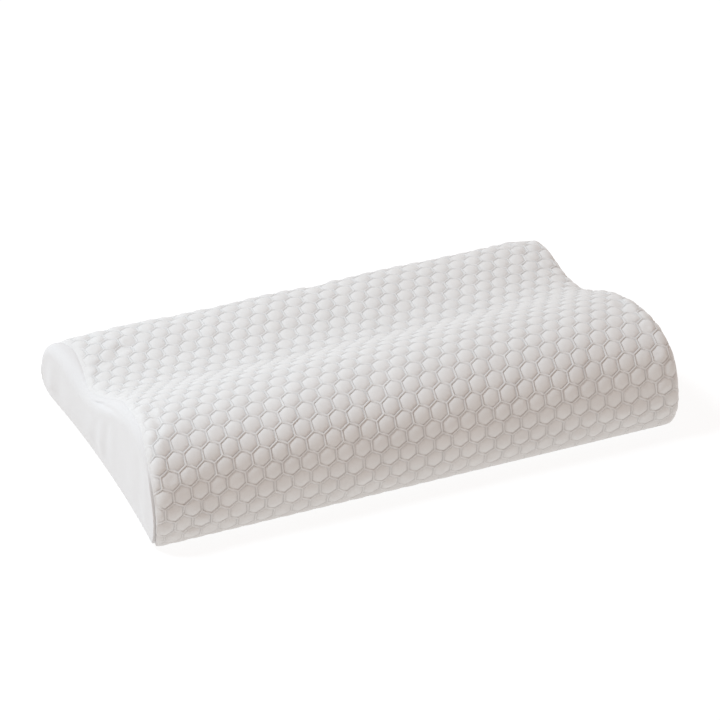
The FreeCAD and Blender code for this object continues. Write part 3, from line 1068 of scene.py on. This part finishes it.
class PILLOW_OT_zip(bpy.types.Operator):
    """Make the zip's tapes, coils and stitches, and finish its slider, pull and stops"""

    bl_idname = "pillow.zip"
    bl_label = "Rear Zip"

    def execute(self, context):
        body = Body(context.scene.pillow_shape)
        middle, foot, top = zip_line()
        for name, sign in (("upper", 1), ("lower", -1)):
            self.tape(name, sign, middle, foot)
            self.coil(name, sign, foot, top)
            self.sewing(body, name, sign)
        for cad in ("zip_slider", "zip_pull_tab", "zip_top_stops", "zip_bottom_stop"):
            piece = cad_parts[cad]
            piece.data.materials.clear()
            piece.data.materials.append(material_for("metal"))
        return {"FINISHED"}

    def tape(self, name, sign, middle, foot):
        """A woven tape with a thicker cord along its inner edge, bent a little into the rear."""
        low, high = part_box(f"zip_tape_{name}")
        near = middle + sign * 0.00065
        widths = np.array([0, 0.0004, 0.0009, 0.0016, 0.004, 0.007, 0.0105, 0.0125, 0.0129])
        raised = np.array([0, 0.00025, 0.0003, 0.00005, 0, 0, 0, 0, -0.0002])
        along = np.linspace(low.x, high.x, 260)
        verts, faces = [], []
        for layer, drop in ((0, 0.0), (1, -0.0005)):
            for x in along:
                sway = 0.00012 * math.sin(x * 61) + 0.00008 * math.sin(x * 143)
                for w, r in zip(widths, raised):
                    back = 6.0 * max(w - 0.0035, 0) ** 2
                    verts.append((x, foot - 0.00012 + (r if layer == 0 else 0) + drop - back + sway,
                                  near + sign * w))
        n, total = len(widths), len(along) * len(widths)
        for k in range(len(along) - 1):
            for i in range(n - 1):
                a = k * n + i
                quad = (a, a + 1, a + n + 1, a + n)
                faces.append(quad if sign < 0 else quad[::-1])
                back = tuple(total + v for v in quad)
                faces.append(back[::-1] if sign < 0 else back)
            for i in (0, n - 1):
                a = k * n + i
                faces.append((a, a + n, total + a + n, total + a))
        piece = new_piece(f"tape_{name}", verts, faces)
        finish_piece(piece, "pillow", [f"zip_tape_{name}"], material_for("tape"))

    def coil(self, name, sign, foot, top):
        """A wound coil whose heads reach in to the middle of the chain, sewn to its tape."""
        low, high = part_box(f"zip_coil_{name}")
        turns = int((high.x - low.x) / COIL_PITCH)
        centre_z = (low.z + high.z) / 2 - sign * 0.00022
        centre_y = (foot + top) / 2
        t = np.arange(turns * 10 + 1) / 10
        angle = 2 * math.pi * t + (0 if sign > 0 else math.pi)
        wide = (high.z - low.z) / 2 + 0.00018 - COIL_WIRE
        tall = (top - foot) / 2 - COIL_WIRE
        path = np.column_stack([
            low.x + 0.0004 + t * COIL_PITCH,
            centre_y + tall * np.sin(angle),
            centre_z - sign * wide * np.cos(angle)])
        wound = tube(path, COIL_WIRE, 6, across=(1, 0, 0))
        line = np.column_stack([np.linspace(low.x, high.x, 500), np.full(500, top + 0.00005),
                                np.full(500, centre_z + sign * 0.0003)])
        sewn = stitches(line, 0.0022, 0.0006, 0.00014, (0, 1, 0), sides=5)
        piece = new_piece(f"coil_{name}", *joined([wound, sewn]))
        finish_piece(piece, "pillow", [f"zip_coil_{name}"], material_for("coil"))

    def sewing(self, body, name, sign):
        """The row of stitches that holds the tape to the wrap's hem."""
        low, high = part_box(f"zip_stitch_{name}")
        x = np.linspace(low.x, high.x, 500)
        round_by = np.full(500, STITCH_ROW if sign < 0 else body.section.girth - STITCH_ROW)
        line = body.place(x, round_by, 0.0003)
        away = body.place(x, round_by, 0.0013) - line
        away /= np.linalg.norm(away, axis=1)[:, None]
        row = stitches(line, 0.0026, 0.0007, 0.00022, away)
        piece = new_piece(f"tape_stitches_{name}", *row)
        finish_piece(piece, "pillow", [f"zip_stitch_{name}"], material_for("thread"))


# ---------------------------------------------------------------- label


def end_face_x(body, y, z):
    """How far out the right end panel's face lies at a place on it."""
    shape = body.shape
    return body.settle(np.array([[shape.length / 2 + shape.end_crown, y, z]]))[0, 0]


class PILLOW_OT_label(bpy.types.Operator):
    """Make the blank folded care label and its stitches"""

    bl_idname = "pillow.label"
    bl_label = "Care Label"

    def execute(self, context):
        low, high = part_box("care_label")
        body = Body(context.scene.pillow_shape)
        wide, tall = 22, 26
        verts, faces = [], []
        for layer, out in ((0, 0.0003), (1, 0.0008)):
            for k in range(tall + 1):
                for i in range(wide + 1):
                    across, down = i / wide, k / tall
                    curl = 0.0034 * down**1.7 * (0.6 + 0.4 * math.sin(across * 2.7 + 0.5))
                    gap = out + 0.0011 * layer * math.sin(math.pi * min(down, 0.97)) ** 0.7
                    if k == tall:
                        gap = 0.0007
                    y = low.y + across * (high.y - low.y)
                    z = high.z - down * (high.z - low.z)
                    verts.append((end_face_x(body, y, z) + gap + curl, y, z))
        row = wide + 1
        sheet = row * (tall + 1)
        for k in range(tall):
            for i in range(wide):
                a = k * row + i
                faces.append((a, a + row, a + row + 1, a + 1))
                faces.append((sheet + a, sheet + a + 1, sheet + a + row + 1, sheet + a + row))
        piece = new_piece("label_fold", verts, faces)
        solid = piece.modifiers.new("Cloth thickness", "SOLIDIFY")
        solid.thickness = 0.00022
        solid.offset = 0
        finish_piece(piece, "pillow", ["care_label"], material_for("label"))
        low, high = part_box("label_stitch")
        height = (low.z + high.z) / 2
        line = np.array([(end_face_x(body, y, height) + 0.0010, y, height)
                         for y in np.linspace(low.y, high.y, 60)])
        sewn = new_piece("label_stitches", *stitches(line, 0.0022, 0.0006, 0.00018, (1, 0, 0)))
        finish_piece(sewn, "pillow", ["label_stitch"], material_for("thread"))
        return {"FINISHED"}


# ---------------------------------------------------------------- stage


def area_light(name, at, to, size, watts, colour):
    """A soft square lamp at a place, aimed at a point."""
    data = bpy.data.lights.new(name, "AREA")
    data.shape = "SQUARE"
    data.size = size
    data.energy = watts
    data.color = colour
    lamp = bpy.data.objects.new(name, data)
    bpy.context.scene.collection.objects.link(lamp)
    lamp.location = at
    lamp.rotation_euler = (Vector(to) - Vector(at)).to_track_quat("-Z", "Y").to_euler()
    return lamp


class PILLOW_OT_stage(bpy.types.Operator):
    """Set the floor, the studio light and the camera"""

    bl_idname = "pillow.stage"
    bl_label = "Studio"

    def execute(self, context):
        scene = context.scene
        self.floor()
        world = bpy.data.worlds.new("Studio")
        world.use_nodes = True
        back = world.node_tree.nodes["Background"]
        back.inputs["Color"].default_value = (1.0, 0.851, 0.775, 1)
        back.inputs["Strength"].default_value = 0.635
        scene.world = world
        area_light("Window side", (-1.0, 0.4, 1.8), (0, 0, 0.04), 0.55, 30.8, (0.744, 0.888, 1.0))
        camera = bpy.data.cameras.new("Camera")
        camera.sensor_width = 36
        camera.lens = 170.16
        camera.clip_start, camera.clip_end = 0.1, 50
        camera.shift_x, camera.shift_y = 0.0042, 0.0201
        eye = bpy.data.objects.new("Camera", camera)
        scene.collection.objects.link(eye)
        target = Vector((0, 0, 0.0375))
        azimuth, elevation, far = math.radians(-23.75), math.radians(31.06), 3.0648
        away = Vector((math.sin(azimuth) * math.cos(elevation),
                       -math.cos(azimuth) * math.cos(elevation), math.sin(elevation)))
        eye.location = target + away * far
        eye.rotation_euler = (-away).to_track_quat("-Z", "Y").to_euler()
        scene.camera = eye
        scene.view_settings.view_transform = "Standard"
        return {"FINISHED"}

    def floor(self):
        """A wide pale floor that curves up far behind."""
        verts = []
        profile = [(-6, 0), (3, 0), (4.2, 0.15), (5.0, 0.7), (5.4, 1.6), (5.5, 5)]
        for x in (-9, 9):
            verts += [(x, y, z - 0.0006) for y, z in profile]
        n = len(profile)
        faces = [(i, n + i, n + i + 1, i + 1) for i in range(n - 1)]
        floor = new_piece("studio_floor", verts, faces)
        material = bpy.data.materials.new("Studio floor")
        material.use_nodes = True
        shader = material.node_tree.nodes["Principled BSDF"]
        shader.inputs["Base Color"].default_value = (0.2, 0.2, 0.2, 1)
        shader.inputs["Emission Color"].default_value = (1, 1, 1, 1)
        shader.inputs["Emission Strength"].default_value = 0.84
        shader.inputs["Roughness"].default_value = 0.9
        shader.inputs["Specular IOR Level"].default_value = 0.1
        floor.data.materials.append(material)


# ---------------------------------------------------------------- add-on


class PILLOW_PT_panel(bpy.types.Panel):
    """Lists the pillow's pieces in the sidebar"""

    bl_label = "Contoured Pillow"
    bl_idname = "PILLOW_PT_panel"
    bl_space_type = "VIEW_3D"
    bl_region_type = "UI"
    bl_category = "Pillow"

    def draw(self, context):
        scene, layout = context.scene, self.layout
        for settings in (scene.pillow_shape, scene.pillow_quilt, scene.pillow_colours):
            box = layout.box()
            for name in settings.bl_rna.properties.keys():
                if name not in ("rna_type", "name"):
                    box.prop(settings, name)
        for operator in PIECES:
            layout.operator(operator.bl_idname)


SETTINGS = (("pillow_shape", PillowShape), ("pillow_quilt", PillowQuilt),
            ("pillow_colours", PillowColours))
PIECES = (PILLOW_OT_stage, PILLOW_OT_filling, PILLOW_OT_wrap, PILLOW_OT_ends, PILLOW_OT_seams,
          PILLOW_OT_zip, PILLOW_OT_label)
CLASSES = tuple(c for _, c in SETTINGS) + PIECES + (PILLOW_PT_panel,)


def register():
    for c in CLASSES:
        bpy.utils.register_class(c)
    for name, group in SETTINGS:
        setattr(bpy.types.Scene, name, bpy.props.PointerProperty(type=group))


def unregister():
    for name, _ in SETTINGS:
        delattr(bpy.types.Scene, name)
    for c in reversed(CLASSES):
        bpy.utils.unregister_class(c)


def main():
    register()
    bpy.ops.pillow.stage()
    bpy.ops.pillow.filling()
    bpy.ops.pillow.wrap()
    bpy.ops.pillow.ends()
    bpy.ops.pillow.seams()
    bpy.ops.pillow.zip()
    bpy.ops.pillow.label()


if __name__ == "__main__":
    main()
